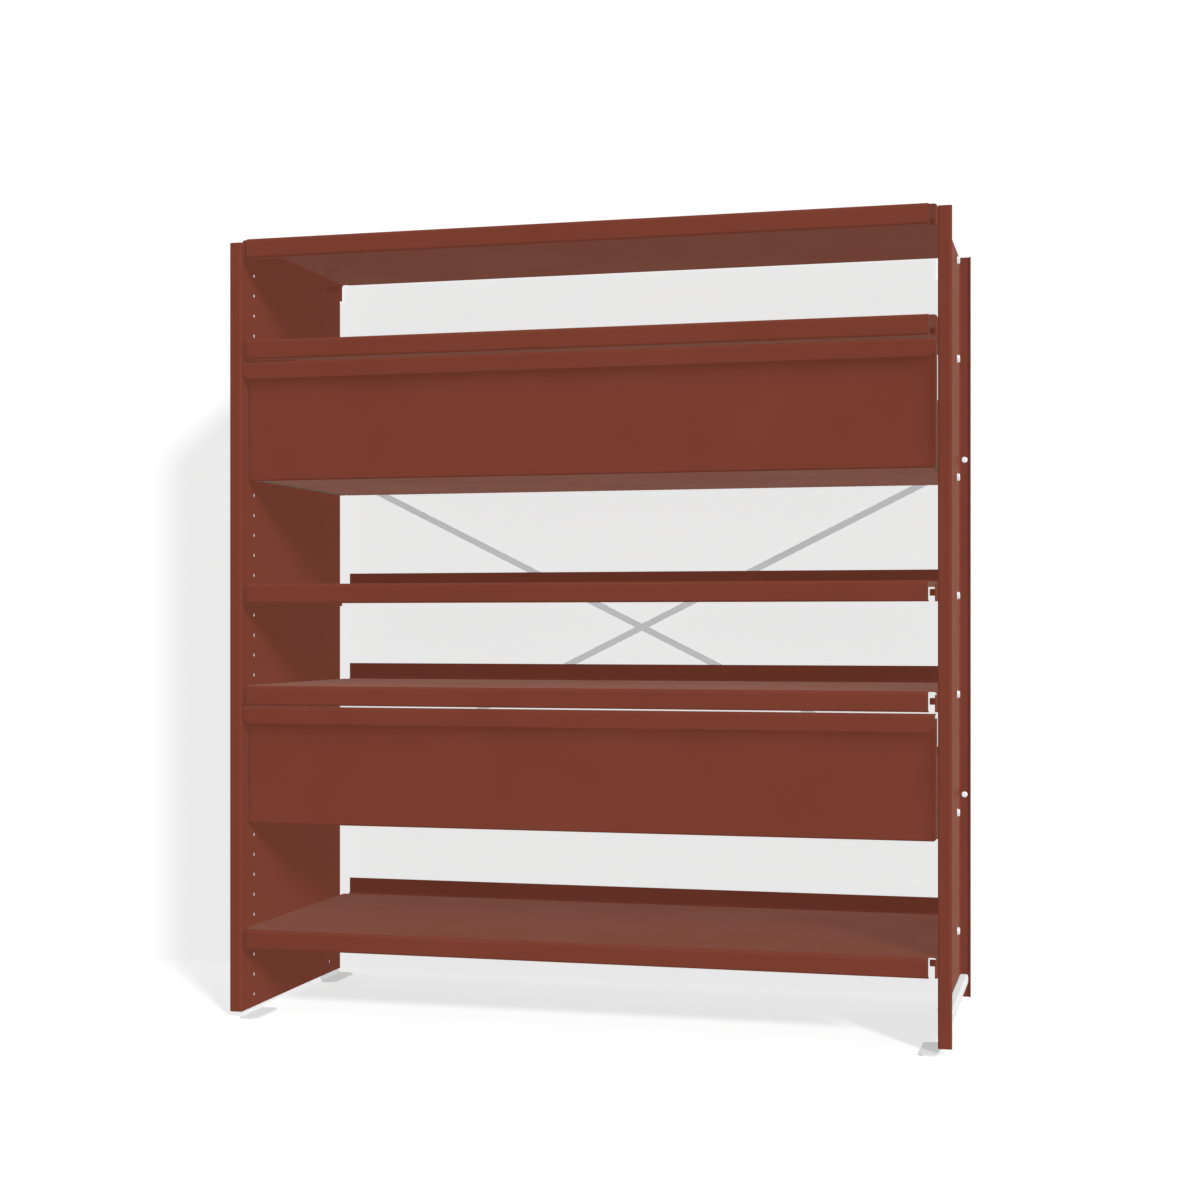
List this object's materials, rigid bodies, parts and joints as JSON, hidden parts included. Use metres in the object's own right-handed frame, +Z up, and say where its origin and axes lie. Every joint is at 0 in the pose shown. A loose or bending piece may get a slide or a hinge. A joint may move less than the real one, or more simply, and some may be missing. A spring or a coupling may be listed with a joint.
{
  "type": "highboard",
  "caption": "Open highboard of folded red-brown sheet steel: bolted shelves between perforated uprights, full-width drawers on telescopic runners, crossed rear braces and floor plates.",
  "frame": {"origin": "on the floor, at the centre of the overall width and depth", "axes": "+X to the right seen from the front, -Y out of the front, +Z up"},
  "size_m": [1.058, 0.4388, 1.1786],
  "materials": {
    "red_brown_paint": "satin powder coat",
    "pale_grey_paint": "satin powder coat",
    "grey_paint": "grey coated flat bar",
    "zinc": "bright zinc",
    "runner_steel": "zinc-plated rolled steel"
  },
  "bodies": {
    "frame": {"upright_left": "red_brown_paint", "base_rail_left": "pale_grey_paint", "upright_right": "red_brown_paint", "base_rail_right": "pale_grey_paint", "shelf_bottom": "red_brown_paint", "shelf_bolt_bottom_left_front": "zinc", "shelf_bolt_bottom_left_rear": "zinc", "shelf_bolt_bottom_right_front": "zinc", "shelf_bolt_bottom_right_rear": "zinc", "shelf_lower": "red_brown_paint", "shelf_bolt_lower_left_front": "zinc", "shelf_bolt_lower_left_rear": "zinc", "shelf_bolt_lower_right_front": "zinc", "shelf_bolt_lower_right_rear": "zinc", "shelf_middle": "red_brown_paint", "shelf_bolt_middle_left_front": "zinc", "shelf_bolt_middle_left_rear": "zinc", "shelf_bolt_middle_right_front": "zinc", "shelf_bolt_middle_right_rear": "zinc", "shelf_upper": "red_brown_paint", "shelf_bolt_upper_left_front": "zinc", "shelf_bolt_upper_left_rear": "zinc", "shelf_bolt_upper_right_front": "zinc", "shelf_bolt_upper_right_rear": "zinc", "shelf_top": "red_brown_paint", "shelf_bolt_top_left_front": "zinc", "shelf_bolt_top_left_rear": "zinc", "shelf_bolt_top_right_front": "zinc", "shelf_bolt_top_right_rear": "zinc", "lower_cabinet_rail_left": "runner_steel", "runner_bolt_lower_left_front": "zinc", "runner_bolt_lower_left_rear": "zinc", "lower_cabinet_rail_right": "runner_steel", "runner_bolt_lower_right_front": "zinc", "runner_bolt_lower_right_rear": "zinc", "upper_cabinet_rail_left": "runner_steel", "runner_bolt_upper_left_front": "zinc", "runner_bolt_upper_left_rear": "zinc", "upper_cabinet_rail_right": "runner_steel", "runner_bolt_upper_right_front": "zinc", "runner_bolt_upper_right_rear": "zinc", "brace_falling": "grey_paint", "brace_rising": "grey_paint", "brace_bolt_upper_left": "zinc", "brace_bolt_upper_right": "zinc", "brace_bolt_lower_left": "zinc", "brace_bolt_lower_right": "zinc"},
    "lower_drawer": {"lower_drawer_front": "red_brown_paint", "lower_drawer_tray": "red_brown_paint", "lower_drawer_rail_left": "runner_steel", "lower_drawer_rail_right": "runner_steel"},
    "lower_middle_rails": {"lower_middle_rail_left": "runner_steel", "lower_middle_rail_right": "runner_steel"},
    "upper_drawer": {"upper_drawer_front": "red_brown_paint", "upper_drawer_tray": "red_brown_paint", "upper_drawer_rail_left": "runner_steel", "upper_drawer_rail_right": "runner_steel"},
    "upper_middle_rails": {"upper_middle_rail_left": "runner_steel", "upper_middle_rail_right": "runner_steel"}
  },
  "joints": [
    {"name": "lower_drawer_slide", "type": "slide", "parent": "frame", "child": "lower_drawer", "axis": [0, -1, 0], "range_m": [0, 0.34]},
    {"name": "lower_middle_slide", "type": "slide", "parent": "frame", "child": "lower_middle_rails", "axis": [0, -1, 0], "range_m": [0, 0.17]},
    {"name": "upper_drawer_slide", "type": "slide", "parent": "frame", "child": "upper_drawer", "axis": [0, -1, 0], "range_m": [0, 0.34]},
    {"name": "upper_middle_slide", "type": "slide", "parent": "frame", "child": "upper_middle_rails", "axis": [0, -1, 0], "range_m": [0, 0.17]}
  ],
  "couplings": [
    {"joint": "lower_middle_slide", "follows": "lower_drawer_slide", "ratio": 0.5},
    {"joint": "upper_middle_slide", "follows": "upper_drawer_slide", "ratio": 0.5}
  ]
}
